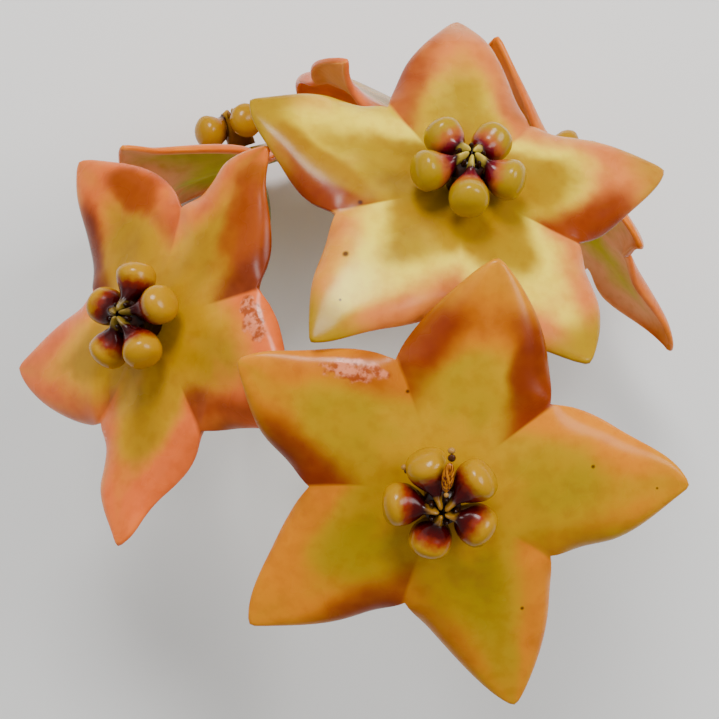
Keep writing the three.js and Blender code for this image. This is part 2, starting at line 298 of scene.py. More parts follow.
# Turns points of the lobes' flat outlines into the flower's bent and rolled upper face.
def corollaPoints(lobes, k, x, y):
    shape = flowerShape
    count = shape["lobeCount"]
    length, fullness = lobes[k, 0], lobes[k, 5]
    wide = np.maximum(halfWidth(x, length, fullness), shape["leastHalfWidth"])
    v = np.clip(np.abs(y) / wide, 0, 1)
    along = np.clip((x - lobeRoot) / (length - lobeRoot), 0, 1)

    full = smooth(along / shape["rollSetIn"]) * (1 - shape["rollTipEase"] * along ** 2)
    roll = np.radians(shape["rollRoot"] + (shape["rollAngle"] - shape["rollRoot"]) * full)[..., None]
    power = shape["rollPower"]
    across = sumUp(lambda t: np.cos(roll * t ** power), v)
    acrossAll = sumUp(lambda t: np.cos(roll * t ** power), np.ones_like(v))
    fall = sumUp(lambda t: np.sin(roll * t ** power), v)
    inLobe = smooth((x - lobeRoot + shape["rollLead"]) / shape["rollBlend"])
    furrow = shape["furrowDepth"] * np.minimum(x / lobeRoot, 1) ** 2 * (1 - np.cos(np.pi * v)) / 2
    side = np.sign(y) * wide * (v + inLobe * (across / acrossAll - v))
    lift = -(furrow + inLobe * (wide * fall - furrow))

    r = np.hypot(x, side)
    angle = np.arctan2(side, x)
    following = np.where(angle >= 0, k + 1, k + count - 1) % count
    share = np.clip(np.abs(angle) / halfTurn, 0, 1) ** shape["neighbourPower"] / 2
    mixed = lobes[k] + (lobes[following] - lobes[k]) * share[..., None]
    reflex, curl, sweep, hook = [mixed[..., i] for i in (1, 2, 3, 4)]

    def slope(t, bend=reflex[..., None], tip=curl[..., None]):
        return np.radians(
            shape["discSlope"] * np.minimum(t / shape["discRamp"], 1)
            + bend * smooth((t - shape["reflexStart"]) / shape["reflexSpan"])
            + tip * smooth((t - shape["curlStart"]) / shape["curlSpan"])
        )

    atRim = slope(r[..., None])[..., 0]
    out = sumUp(lambda t: np.cos(slope(t)), r) - np.sin(atRim) * lift
    up = sumUp(lambda t: np.sin(slope(t)), r) + np.cos(atRim) * lift
    bent = np.clip((r - shape["reflexStart"]) / shape["reflexSpan"], 0, shape["sweepLimit"]) ** 2
    aside = sweep * bent + hook * smooth((r - shape["curlStart"]) / shape["curlSpan"])
    turn = np.radians(360 / count * k + aside) + angle
    return np.stack([out * np.cos(turn), out * np.sin(turn), up], axis=-1)


# The flower's own axes in the umbel: its face's middle is the origin, and it faces along +Z.
def flowerMatrix(flower):
    n = Vector(flower["facing"]).normalized()
    across = Vector((1, 0, 0)) if abs(n.x) < 0.9 else Vector((0, 1, 0))
    u = (across - n * across.dot(n)).normalized()
    v = n.cross(u)
    axes = Matrix((u, v, n)).transposed().to_4x4()
    spin = Matrix.Rotation(math.radians(flower["turn"]), 4, "Z")
    return Matrix.Translation(Vector(flower["place"])) @ axes @ spin


# A mesh from points in millimetres, laid in the umbel, with values to paint by on its points.
def meshFrom(name, points, faces, matrix, attributes):
    mesh = bpy.data.meshes.new(name)
    mesh.from_pydata([tuple(p) for p in points], [], faces)
    mesh.transform(Matrix.Scale(mm, 4) @ matrix)
    for key, values in attributes.items():
        layer = mesh.attributes.new(key, "FLOAT", "POINT")
        layer.data.foreach_set("value", np.asarray(values, dtype=np.float32))
    mesh.polygons.foreach_set("use_smooth", [True] * len(mesh.polygons))
    mesh.update()
    return mesh


def gridNormals(points, faces):
    quads = np.array([f if len(f) == 4 else (*f, f[2]) for f in faces])
    a, b, c, d = [points[quads[:, i]] for i in range(4)]
    facing = np.cross(c - a, d - b)
    flat = np.linalg.norm(facing, axis=1) < 1e-12
    facing[flat] = np.cross((b - a)[flat], (c - a)[flat])
    normals = np.zeros_like(points)
    for i in range(4):
        np.add.at(normals, quads[:, i], facing)
    return normals / np.linalg.norm(normals, axis=1)[:, None]


# Where the petals' colours come in or fade: the share of the way at which each begins, then the span
# that it takes. Star is the way from the flower's middle to its outline, Tip from the middle to a
# lobe's tip, Side from a lobe's midline to its edge, and Rim round the edge from face to underside.
petalPaint = {
    "midlineFlush": 0.15,     # the part of a side's flush that reaches the midline
    "patchEnd": 1.5,          # where the soft edge of a patch ends, in its half sizes
    "innerSideFade": (0.1, 0.7),
    "outerTip": (0.45, 0.35),
    "flushSide": (0.05, 0.55),
    "flushStar": (0.48, 0.4),
    "deepShadeSide": (0.1, 0.55),
    "deepShadeStar": (0.4, 0.38),
    "deepShadeTipFade": (0.66, 0.34),
    "oliveStar": (0.22, 0.2),
    "oliveStarFade": (0.55, 0.3),
    "paleAndLitStar": (0.4, 0.3),
    "paleAndLitStarFade": (0.74, 0.25),
    "tipTip": (0.72, 0.22),
    "backRim": (0.3, 0.6),
}


def grown(way, key):
    start, span = petalPaint[key]
    return smooth((way - start) / span)


# What the petals are painted by: the share of each colour at points of the flat lobes.
def petalShares(flower, k, x, y, star):
    lobes = np.array(flower["lobes"], dtype=float)
    wide = np.maximum(halfWidth(x, lobes[k, 0], lobes[k, 5]), flowerShape["leastHalfWidth"])
    sideways = np.clip(y / wide, -1, 1)
    aside = np.abs(sideways)
    along = x / lobes[k, 0]
    columns = {key: np.array(flower["paint"])[k][..., start:] for key, start in paintColumns.items()}

    def sided(key):
        # from the clockwise side's share to the anticlockwise side's
        column = columns[key]
        return column[..., 0] + (column[..., 1] - column[..., 0]) * smooth((sideways + 1) / 2)

    inner = 1 - grown(aside, "innerSideFade")
    outer = grown(along, "outerTip") * inner
    midline = petalPaint["midlineFlush"]
    flush = sided("flush") * grown(star, "flushStar")
    flush = flush * (midline + (1 - midline) * grown(aside, "flushSide"))
    # painted shade: the deep colour darkens the rolled flanks that turn from the light
    deepShade = sided("deepShade") * grown(aside, "deepShadeSide") * grown(star, "deepShadeStar")
    deepShade = deepShade * (1 - grown(along, "deepShadeTipFade"))
    shares = {
        "star": star,
        "flush": np.minimum(flush + columns["flush"][..., 2] * outer, 1),
        "deepShade": np.minimum(deepShade + columns["deepShade"][..., 2] * outer, 1),
        # painted light: the pale colour, partly paler wax, lightens the flanks that face the light
        "paleAndLit": sided("paleAndLit") * grown(star, "paleAndLitStar") * (1 - grown(star, "paleAndLitStarFade")),
        "olive": grown(star, "oliveStar") * (1 - grown(star, "oliveStarFade")) * inner,
        "tip": columns["tip"][..., 0] * grown(along, "tipTip"),
    }
    for kind, patches in flower["patches"].items():
        shares[kind] = np.zeros_like(x)
        for lobe, middleX, middleY, halfLong, halfWide, lean in patches:
            c, s = math.cos(math.radians(lean)), math.sin(math.radians(lean))
            lengthwise = ((x - middleX) * c + (y - middleY) * s) / halfLong
            crosswise = ((y - middleY) * c - (x - middleX) * s) / halfWide
            share = (k == lobe) * smooth(petalPaint["patchEnd"] - np.hypot(lengthwise, crosswise))
            shares[kind] = np.maximum(shares[kind], share)
    return shares


# One thick sheet with a rounded edge, from rings of points that grow from the middle to the outline.
def corollaMesh(name, flower):
    shape = flowerShape
    lobes = np.array(flower["lobes"], dtype=float)
    steps, rings, rimRows = shape["sideColumns"], shape["rings"], shape["rimRows"]
    side = 1 - (1 - np.linspace(0, 1, steps + 1)) ** shape["tipCrowding"]
    reach = np.array([*side, *side[-2:0:-1]] * shape["lobeCount"])
    sign = np.array(([-1] * (steps + 1) + [1] * (steps - 1)) * shape["lobeCount"])
    k = np.repeat(np.arange(shape["lobeCount"]), 2 * steps)
    x = lobeRoot + reach * (lobes[k, 0] - lobeRoot)
    y = sign * halfWidth(x, lobes[k, 0], lobes[k, 5])
    count = len(k)
    shares = 1 - (1 - np.arange(1, rings + 1) / rings) ** shape["ringCrowding"]
    ringX = shares[:, None] * x
    ringY = shares[:, None] * y
    ringK = np.broadcast_to(k, ringX.shape)
    centre = corollaPoints(lobes, np.array([0]), np.array([0.0]), np.array([0.0]))
    upper = np.vstack([centre, corollaPoints(lobes, ringK, ringX, ringY).reshape(-1, 3)])

    here = np.arange(count)
    after = (here + 1) % count
    face = [(0, 1 + j, 1 + m) for j, m in zip(here, after)]
    for i in range(rings - 1):
        a, b = 1 + i * count + here, 1 + i * count + after
        face += list(zip(a, a + count, b + count, b))
    normals = gridNormals(upper, face)

    towardsTip = smooth((ringX - lobeRoot) / (lobes[ringK, 0] - lobeRoot))
    edge = shape["thickEdge"] + (shape["thickTip"] - shape["thickEdge"]) * towardsTip
    thick = shape["thickMiddle"] + (edge - shape["thickMiddle"]) * smooth(shares)[:, None]
    thick = np.concatenate([[shape["thickMiddle"]], thick.ravel()])
    lower = upper - normals * thick[:, None]

    # The edge is rounded by rows between the two faces, pushed outwards.
    last, inner = upper[-count:], upper[-3 * count:-2 * count]
    outwards = last - inner
    outwards -= (outwards * normals[-count:]).sum(axis=1)[:, None] * normals[-count:]
    outwards /= np.linalg.norm(outwards, axis=1)[:, None]
    middle = (last + lower[-count:]) / 2
    roundness = shape["notchBulge"] + (1 - shape["notchBulge"]) * smooth(reach * shape["bulgeRise"])
    bulge = thick[-count:] / 2 * roundness
    rim = []
    for row in range(1, rimRows):
        a = math.pi * row / rimRows
        rim.append(middle + (last - middle) * math.cos(a) + outwards * (bulge * math.sin(a))[:, None])

    size = len(upper)
    points = np.vstack([upper, lower, *rim])
    faces = face + [tuple(i + size for i in reversed(f)) for f in face]
    rows = [size - count + here]
    rows += [2 * size + i * count + here for i in range(rimRows - 1)]
    rows += [2 * size - count + here]
    for a, b in zip(rows[:-1], rows[1:]):
        faces += list(zip(a, b, np.roll(b, -1), np.roll(a, -1)))

    attributes = {}
    star = np.broadcast_to(shares[:, None], ringX.shape)
    for key, values in petalShares(flower, ringK, ringX, ringY, star).items():
        # the same value on both faces, and on the edge between them
        one = np.concatenate([[0], values.ravel()])
        attributes[key] = np.concatenate([one, one, np.tile(one[-count:], rimRows - 1)])
    rimBack = grown(np.arange(1, rimRows) / rimRows, "backRim")
    attributes["back"] = np.concatenate([np.zeros(size), np.ones(size), np.repeat(rimBack, count)])
    mesh = meshFrom(name, points, faces, flowerMatrix(flower), attributes)

    # The upper face and the nearer half of the edge are wax, the rest is the underside.
    rimFaces = np.repeat(np.arange(rimRows) * 2 >= rimRows, count)
    under = np.concatenate([np.zeros(len(face)), np.ones(len(face)), rimFaces])
    for finish in petalWax["finishes"]:
        mesh.materials.append(waxPetal(flower["look"], finish, speckPlaces(flower)))
    mesh.polygons.foreach_set("material_index", under.astype(np.int32))
    return mesh


# Colours of the petals by flower: round the corona, over the lobes, paler and olive patches,
# flushed, deep and dusky flanks, tips, and the back's middle and rim, with how far out the back
# turns from the one to the other. The pale is partly painted light, and the deep and the dusky
# colours are painted shade, the dusky one together with a darker tone of the wax. The flowers that
# hang behind share most of theirs.
hangingColours = {
    "heart": 0xB68600, "field": 0xE0A800, "paleAndLit": 0xFFBC20, "olive": 0xA07800,
    "deepShade": 0x833B00, "shadeAndDarkTone": 0x833B00,
}
petalLooks = {
    "amber": {
        "heart": 0xC49000, "field": 0xBC9200, "paleAndLit": 0xD09C00, "olive": 0xA88800,
        "flush": 0xE08400, "deepShade": 0x862E00, "shadeAndDarkTone": 0x7C2A00, "tip": 0xD08C00,
        "backBase": 0x8A6A00, "backRim": 0xA45700, "backTurn": 0.75,
    },
    "primrose": {
        "heart": 0xA47800, "field": 0xD8B400, "paleAndLit": 0xFFE23A, "olive": 0xA88400,
        "flush": 0xE07C38, "deepShade": 0x883000, "shadeAndDarkTone": 0xA47400, "tip": 0xA88200,
        "backBase": 0x8A7A10, "backRim": 0xC87020, "backTurn": 0.75,
    },
    "peach": {
        "heart": 0xBC8800, "field": 0xD89C00, "paleAndLit": 0xFFB020, "olive": 0xA87A00,
        "flush": 0xF0702C, "deepShade": 0x702400, "shadeAndDarkTone": 0xA04400, "tip": 0xD08A00,
        "backBase": 0x7A7A10, "backRim": 0xD06A28, "backTurn": 0.75,
    },
    "russet": {
        **hangingColours, "flush": 0xE8703A, "tip": 0xC87020,
        "backBase": 0xD88018, "backRim": 0xE89040, "backTurn": 0.8,
    },
    "mossy": {
        **hangingColours, "flush": 0xF07420, "tip": 0xC08000,
        "backBase": 0xBCA800, "backRim": 0xF8A070, "backTurn": 0.84,
    },
    "umber": {
        **hangingColours, "flush": 0xE87830, "tip": 0xE07818,
        "backBase": 0xCCB818, "backRim": 0xFFAC70, "backTurn": 0.6,
    },
}


# A new material with an empty tree, and the place on the piece that its patterns follow.
def newMaterial(name):
    material = bpy.data.materials.new(name)
    material.use_nodes = True
    tree = material.node_tree
    tree.nodes.clear()
    return material, tree, addNode(tree, "ShaderNodeTexCoord").outputs["Object"]


petalWax = {
    "finishes": {
        "wax petal": {"shine": 0.22, "roughness": (0.2, 0.32)},
        "petal underside": {"shine": 0.05, "roughness": (0.45, 0.6)},
    },
    # what varies by itself, with its size in millimetres and its detail
    "grains": {
        "drift": (6.0, 3.0), "ragged": (1.4, 4.0), "mottle": (0.8, 3.0), "cloud": (1.6, 5.0),
        "ripple": (2.5, 3.0),
    },
    # how far each share wanders, so that no patch of colour ends in a straight line
    "wander": {
        "star": 0.1, "flush": 0.2, "deepShade": 0.2, "paleAndLit": 0.25, "olive": 0.3, "paintedSheen": 0.4, "shadeAndDarkTone": 0.3,
    },
    # a share and the colour that it brings in, as it passes from the first number to the second
    "layers": [
        ("star", "field", 0.32, 0.8), ("olive", "olive", 0.1, 1.4), ("paleAndLit", "paleAndLit", 0.05, 0.95),
        # the dark patches' colour is painted shade, together with a darker tone of the wax
        ("flush", "flush", 0.1, 0.95), ("deepShade", "deepShade", 0.05, 1.15), ("shadeAndDarkTone", "shadeAndDarkTone", 0.15, 1.1),
    ],
    "backBlend": 0.22,
    # the glossier patches, and the milky colours of their painted reflection
    "paintedSheenFrom": 0.42, "paintedSheenMost": 0.8, "sheenGloss": -0.12, "paintedSheenColours": (0x9C4418, 0xE88C68),
    "cloudFrom": 0.42, "cloudTo": 0.7, "cloudMost": 0.45, "cloudTint": (0.8, 0.66, 0.4, 1.0),
    "speckColour": 0x3E0F00, "speckMost": 0.8,
    "rippleStrength": 0.12, "rippleDepth": 0.3,
    "lightDepth": 1.2,
}


# Thick wax petal: smooth-grown, so it shines softly, with a little light passing through it,
# soft-edged patches of colour, a faint cloudiness, glossier milky patches that carry a painted
# reflection, and a few brown specks.
# Its underside is faintly downy, so it hardly shines.
def waxPetal(look, finish, specks):
    wax = petalWax
    colours = {key: linearColour(value) for key, value in petalLooks[look].items() if key != "backTurn"}
    backTurn = petalLooks[look]["backTurn"]
    material, tree, place = newMaterial(f"{look} {finish}")
    grains = {}
    for key, (size, detail) in wax["grains"].items():
        grains[key] = addNode(tree, "ShaderNodeTexNoise", None, {
            "Vector": place, "Scale": 1 / (size * mm), "Detail": detail,
        }).outputs["Fac"]
    shares = {}
    for key in (*wax["wander"], "tip", "back"):
        shares[key] = addNode(tree, "ShaderNodeAttribute", {"attribute_name": key}).outputs["Fac"]
    for key, reach in wax["wander"].items():
        wander = addNode(tree, "ShaderNodeMapRange", None, {
            "Value": grains["ragged" if key == "paintedSheen" else "drift"],
            "From Min": 0.3, "From Max": 0.7, "To Min": -reach, "To Max": reach,
        })
        shares[key] = addNode(tree, "ShaderNodeMath", {"operation": "ADD"}, {
            0: shares[key], 1: wander.outputs["Result"],
        }).outputs[0]

    def laidOver(share, low, high, under, over):
        # over shows where share passes from low to high
        amount = addNode(tree, "ShaderNodeMapRange", {"interpolation_type": "SMOOTHSTEP"}, {
            "Value": share, "From Min": low, "From Max": high,
        })
        return addNode(tree, "ShaderNodeMix", {"data_type": "RGBA"}, {
            0: amount.outputs["Result"], 6: under, 7: over,
        }).outputs[2]

    colour = colours["heart"]
    for share, key, low, high in wax["layers"]:
        colour = laidOver(shares[share], low, high, colour, colours[key])
    # painted reflection: a mottled milky colour where the glossier patches are, which are also less rough
    paintedSheen = addNode(tree, "ShaderNodeMapRange", {"interpolation_type": "SMOOTHSTEP"}, {
        "Value": shares["paintedSheen"], "From Min": wax["paintedSheenFrom"], "From Max": 1.0, "To Max": wax["paintedSheenMost"],
    }).outputs["Result"]
    dull, milky = [linearColour(value) for value in wax["paintedSheenColours"]]
    mottled = laidOver(grains["mottle"], 0.4, 0.6, dull, milky)
    colour = laidOver(paintedSheen, 0.0, 1.0, colour, mottled)
    low, high = backTurn - wax["backBlend"], backTurn + wax["backBlend"]
    underside = laidOver(shares["star"], low, high, colours["backBase"], colours["backRim"])
    colour = laidOver(shares["back"], 0.0, 1.0, colour, underside)
    colour = laidOver(shares["tip"], 0.0, 1.0, colour, colours["tip"])
    cloud = addNode(tree, "ShaderNodeMapRange", {"interpolation_type": "SMOOTHSTEP"}, {
        "Value": grains["cloud"], "From Min": wax["cloudFrom"], "From Max": wax["cloudTo"],
        "To Max": wax["cloudMost"],
    })
    colour = addNode(tree, "ShaderNodeMix", {"data_type": "RGBA", "blend_type": "MULTIPLY"}, {
        0: cloud.outputs["Result"], 6: colour, 7: wax["cloudTint"],
    }).outputs[2]
    for spot, radius in specks:
        away = addNode(tree, "ShaderNodeVectorMath", {"operation": "DISTANCE"}, {0: place, 1: spot})
        dot = addNode(tree, "ShaderNodeMapRange", None, {
            "Value": away.outputs["Value"], "From Min": radius * 0.5, "From Max": radius * 1.5,
            "To Min": wax["speckMost"], "To Max": 0.0,
        })
        colour = laidOver(dot.outputs["Result"], 0.0, 1.0, colour, linearColour(wax["speckColour"]))

    bump = addNode(tree, "ShaderNodeBump", None, {
        "Strength": wax["rippleStrength"], "Distance": wax["rippleDepth"] * mm, "Height": grains["ripple"],
    })
    smoothest, roughest = wax["finishes"][finish]["roughness"]
    dry = addNode(tree, "ShaderNodeMapRange", None, {
        "Value": grains["drift"], "From Min": 0.3, "From Max": 0.7, "To Min": smoothest, "To Max": roughest,
    })
    roughness = addNode(tree, "ShaderNodeMath", {"operation": "MULTIPLY_ADD"}, {
        0: paintedSheen, 1: wax["sheenGloss"], 2: dry.outputs["Result"],
    })
    shader = addNode(tree, "ShaderNodeBsdfPrincipled", None, {
        "Base Color": colour, "Roughness": roughness.outputs[0], "Normal": bump.outputs["Normal"],
        "IOR": 1.45, "Subsurface Weight": 0.2, "Subsurface Scale": wax["lightDepth"] * mm,
        "Subsurface Radius": (1.0, 0.6, 0.2), "Specular IOR Level": wax["finishes"][finish]["shine"],
    })
    addNode(tree, "ShaderNodeOutputMaterial", None, {"Surface": shader.outputs["BSDF"]})
    return material


# Where a flower's specks are in the scene, with their radii.
def speckPlaces(flower):
    lobes = np.array(flower["lobes"], dtype=float)
    spots = []
    for lobe, x, y, radius in flower["specks"]:
        point = corollaPoints(lobes, np.array([lobe]), np.array([float(x)]), np.array([float(y)]))[0]
        spots.append((tuple(flowerMatrix(flower) @ Vector(point) * mm), radius * mm))
    return spots


# A geometry tree with named inputs, and the object that it makes as a plain mesh.
def newTree(name, inputs):
    tree = bpy.data.node_groups.new(name, "GeometryNodeTree")
    tree.interface.new_socket("Geometry", in_out="INPUT", socket_type="NodeSocketGeometry")
    for label, (kind, value) in inputs.items():
        socket = tree.interface.new_socket(label, in_out="INPUT", socket_type=kind)
        if value is not None:
            socket.default_value = value
    tree.interface.new_socket("Geometry", in_out="OUTPUT", socket_type="NodeSocketGeometry")
    return tree, addNode(tree, "NodeGroupInput").outputs


def growMesh(name, tree, values, base=None):
    grower = bpy.data.objects.new(name + "_grower", base or bpy.data.meshes.new(name + "_seed"))
    bpy.context.collection.objects.link(grower)
    modifier = grower.modifiers.new("grow", "NODES")
    modifier.node_group = tree
    for socket in tree.interface.items_tree:
        if socket.in_out == "INPUT" and socket.name in values:
            modifier[socket.identifier] = values[socket.name]
    depsgraph = bpy.context.evaluated_depsgraph_get()
    mesh = bpy.data.meshes.new_from_object(
        grower.evaluated_get(depsgraph), preserve_all_data_layers=True, depsgraph=depsgraph)
    grower.modifiers.remove(modifier)
    bpy.data.objects.remove(grower)
    mesh.name = name
    return mesh


# Turns one shape into a ring of copies round the flower's axis, the first of them at half a step.
def ringOf(tree, geometry, amount):
    instance = addNode(tree, "GeometryNodeGeometryToInstance", None, {0: geometry})
    copies = addNode(tree, "GeometryNodeDuplicateElements", {"domain": "INSTANCE"}, {
        "Geometry": instance.outputs[0], "Amount": amount,
    })
    step = addNode(tree, "ShaderNodeMath", {"operation": "DIVIDE"}, {0: 2 * math.pi, 1: amount})
    turned = addNode(tree, "ShaderNodeMath", {"operation": "MULTIPLY_ADD"}, {
        0: copies.outputs["Duplicate Index"], 1: step.outputs[0], 2: halfTurn,
    })
    turn = addNode(tree, "ShaderNodeCombineXYZ", None, {2: turned.outputs[0]})
    return addNode(tree, "GeometryNodeRotateInstances", None, {
        "Instances": copies.outputs["Geometry"], "Rotation": turn.outputs[0], "Local Space": False,
    }).outputs[0]


# Ends a tree with real faces, shaded smooth, in the given material.
def finishTree(tree, pieces, material):
    parts = addNode(tree, "GeometryNodeJoinGeometry")
    for piece in pieces:
        tree.links.new(piece, parts.inputs[0])
    real = addNode(tree, "GeometryNodeRealizeInstances", None, {0: parts.outputs[0]})
    soft = addNode(tree, "GeometryNodeSetShadeSmooth", None, {0: real.outputs[0]})
    painted = addNode(tree, "GeometryNodeSetMaterial", None, {0: soft.outputs[0], "Material": material})
    addNode(tree, "NodeGroupOutput", None, {0: painted.outputs[0]})


# Sizes of the corona in millimetres: five bulbous lobes whose inner tongues meet over the column.
# The three outlines run from a lobe's tongue, at 0, to its outer end, at 1.
coronaShape = {
    "lobes": 5,
    "tongueEnd": 0.3,
    "reach": 6.4,
    "halfWidth": 2.15,
    "height": 6.0,
    "wideOutline": [
        (0, 0), (0.03, 0.1), (0.15, 0.19), (0.25, 0.32), (0.42, 0.76), (0.58, 0.97), (0.74, 1),
        (0.88, 0.88), (0.96, 0.6), (0.99, 0.32), (1, 0),
    ],
    "topOutline": [
        (0, 0.92), (0.04, 0.96), (0.16, 0.93), (0.3, 0.86), (0.45, 0.86), (0.6, 0.93), (0.76, 0.97),
        (0.88, 0.9), (0.96, 0.78), (0.99, 0.68), (1, 0.55),
    ],
    "underOutline": [
        (0, 0.9), (0.04, 0.78), (0.16, 0.5), (0.3, 0.36), (0.45, 0.28), (0.6, 0.22), (0.76, 0.2),
        (0.88, 0.26), (0.96, 0.36), (0.99, 0.44), (1, 0.55),
    ],
    "pointsAlong": 41,
    "pointsAround": 33,
    "closeWithin": 0.002,     # points nearer than this are one, where the lobe's skin meets itself
    "columnRadius": 1.9,
    "columnHeight": 4.2,
    "columnPlace": (0, 0, 0.3),
    "grainRadius": 0.3,       # the dark grains between the tongues
    "grainPlace": (1.35, 36, 4.9),
    "grainStretch": (1.0, 1.0, 2.0),
}

# The numbers that mark what is small on a corona, by its colour.
coronaMarks = {"brown": -3, "dark": -1, "striped": 2, "sand": 3}

# What lies on one corona: its half sizes, then its distance out, its angle and its height, its tilt
# and its colour.
coronaLitter = [
    ((0.5, 0.62, 1.75), (4.1, 81, 5.7), 84, "striped"),
    ((0.3, 0.42, 0.5), (6.15, 80, 5.4), 64, "brown"),
    ((0.34, 0.4, 0.36), (6.8, 81, 5.1), 0, "sand"),
    ((0.26, 0.26, 0.26), (2.25, 79, 5.9), 0, "sand"),
    ((0.34, 0.3, 0.3), (5.7, 131, 3.7), 0, "sand"),
    ((0.36, 0.5, 0.6), (5.1, 131, 3.3), 20, "brown"),
]


def coronaTree():
    shape = coronaShape
    tree, given = newTree("corona", {
        "Lobes": ("NodeSocketInt", shape["lobes"]),
        "Tongue end": ("NodeSocketFloat", shape["tongueEnd"] * mm),
        "Reach": ("NodeSocketFloat", shape["reach"] * mm),
        "Half width": ("NodeSocketFloat", shape["halfWidth"] * mm),
        "Height": ("NodeSocketFloat", shape["height"] * mm),
        "Column radius": ("NodeSocketFloat", shape["columnRadius"] * mm),
        "Column height": ("NodeSocketFloat", shape["columnHeight"] * mm),
        "Grain radius": ("NodeSocketFloat", shape["grainRadius"] * mm),
        "Litter": ("NodeSocketBool", False),
        "Material": ("NodeSocketMaterial", None),
    })
    onPoints = {"data_type": "FLOAT", "domain": "POINT"}

    def laid(geometry, mark, place, **settings):
        # marks a shape for its colour, and lays it at its distance out, angle and height
        out, angle, up = place
        turn = math.radians(angle)
        marked = addNode(tree, "GeometryNodeStoreNamedAttribute", onPoints, {
            "Geometry": geometry, "Name": "outward", "Value": float(coronaMarks[mark]),
        })
        return addNode(tree, "GeometryNodeTransform", None, {
            "Geometry": marked.outputs[0],
            "Translation": (out * math.cos(turn) * mm, out * math.sin(turn) * mm, up * mm), **settings,
        }).outputs[0]

    # One lobe is a grid whose one side runs along it and whose other side wraps round it.
    grid = addNode(tree, "GeometryNodeMeshGrid", None, {
        "Size X": 1.0, "Size Y": 1.0, "Vertices X": shape["pointsAlong"], "Vertices Y": shape["pointsAround"],
    })
    spot = addNode(tree, "ShaderNodeSeparateXYZ", None, {
        0: addNode(tree, "GeometryNodeInputPosition").outputs[0],
    })
    along = addNode(tree, "ShaderNodeMath", {"operation": "ADD"}, {0: spot.outputs[0], 1: 0.5}).outputs[0]
    around = addNode(tree, "ShaderNodeMapRange", None, {
        "Value": spot.outputs[1], "From Min": -0.5, "From Max": 0.5, "To Min": 0.0, "To Max": 2 * math.pi,
    }).outputs["Result"]
    out = addNode(tree, "ShaderNodeMapRange", None, {
        "Value": along, "To Min": given["Tongue end"], "To Max": given["Reach"],
    })
    outlines = {}
    for key, scale in (("wideOutline", "Half width"), ("topOutline", "Height"), ("underOutline", "Height")):
        outline = addNode(tree, "ShaderNodeFloatCurve", None, {"Value": along})
        shapeCurve(outline, shape[key])
        outlines[key] = addNode(tree, "ShaderNodeMath", {"operation": "MULTIPLY"}, {
            0: outline.outputs[0], 1: given[scale],
        }).outputs[0]
    cosine = addNode(tree, "ShaderNodeMath", {"operation": "COSINE"}, {0: around}).outputs[0]
    sine = addNode(tree, "ShaderNodeMath", {"operation": "SINE"}, {0: around}).outputs[0]
    sideways = addNode(tree, "ShaderNodeMath", {"operation": "MULTIPLY"}, {
        0: outlines["wideOutline"], 1: cosine,
    })
    upShare = addNode(tree, "ShaderNodeMapRange", None, {
        "Value": sine, "From Min": -1.0, "From Max": 1.0,
        "To Min": outlines["topOutline"], "To Max": outlines["underOutline"],
    })
    shaped = addNode(tree, "ShaderNodeCombineXYZ", None, {
        0: out.outputs["Result"], 1: sideways.outputs[0], 2: upShare.outputs["Result"],
    })
    outwards = addNode(tree, "GeometryNodeStoreNamedAttribute", onPoints, {
        "Geometry": grid.outputs["Mesh"], "Name": "outward", "Value": along,
    })
    height = addNode(tree, "ShaderNodeMapRange", None, {"Value": sine, "From Min": 1.0, "From Max": -1.0})
    upwards = addNode(tree, "GeometryNodeStoreNamedAttribute", onPoints, {
        "Geometry": outwards.outputs[0], "Name": "upward", "Value": height.outputs["Result"],
    })
    placed = addNode(tree, "GeometryNodeSetPosition", None, {
        "Geometry": upwards.outputs[0], "Position": shaped.outputs[0],
    })
    closed = addNode(tree, "GeometryNodeMergeByDistance", None, {
        "Geometry": placed.outputs[0], "Distance": shape["closeWithin"] * mm,
    })

    grain = addNode(tree, "GeometryNodeMeshUVSphere", None, {
        "Segments": 10, "Rings": 8, "Radius": given["Grain radius"],
    })
    grainLaid = laid(grain.outputs["Mesh"], "dark", shape["grainPlace"], Scale=shape["grainStretch"])
    unit = addNode(tree, "GeometryNodeJoinGeometry")
    tree.links.new(closed.outputs[0], unit.inputs[0])
    tree.links.new(grainLaid, unit.inputs[0])
    column = addNode(tree, "GeometryNodeMeshCone", None, {
        "Vertices": 30, "Radius Top": given["Column radius"], "Radius Bottom": given["Column radius"],
        "Depth": given["Column height"],
    })
    litter = addNode(tree, "GeometryNodeJoinGeometry")
    for halfSizes, place, tilt, mark in coronaLitter:
        ball = addNode(tree, "GeometryNodeMeshUVSphere", None, {"Segments": 20, "Rings": 14, "Radius": mm})
        lean = (0.0, math.radians(tilt), math.radians(place[1]))
        thing = laid(ball.outputs["Mesh"], mark, place, Rotation=lean, Scale=halfSizes)
        tree.links.new(thing, litter.inputs[0])
    chosen = addNode(tree, "GeometryNodeSwitch", {"input_type": "GEOMETRY"}, {
        "Switch": given["Litter"], "True": litter.outputs[0],
    })
    finishTree(tree, [
        ringOf(tree, unit.outputs[0], given["Lobes"]),
        # the column is coloured dark: painted shade for the deep gaps between the tongues
        laid(column.outputs["Mesh"], "dark", shape["columnPlace"]),
        chosen.outputs[0],
    ], given["Material"])
    return tree


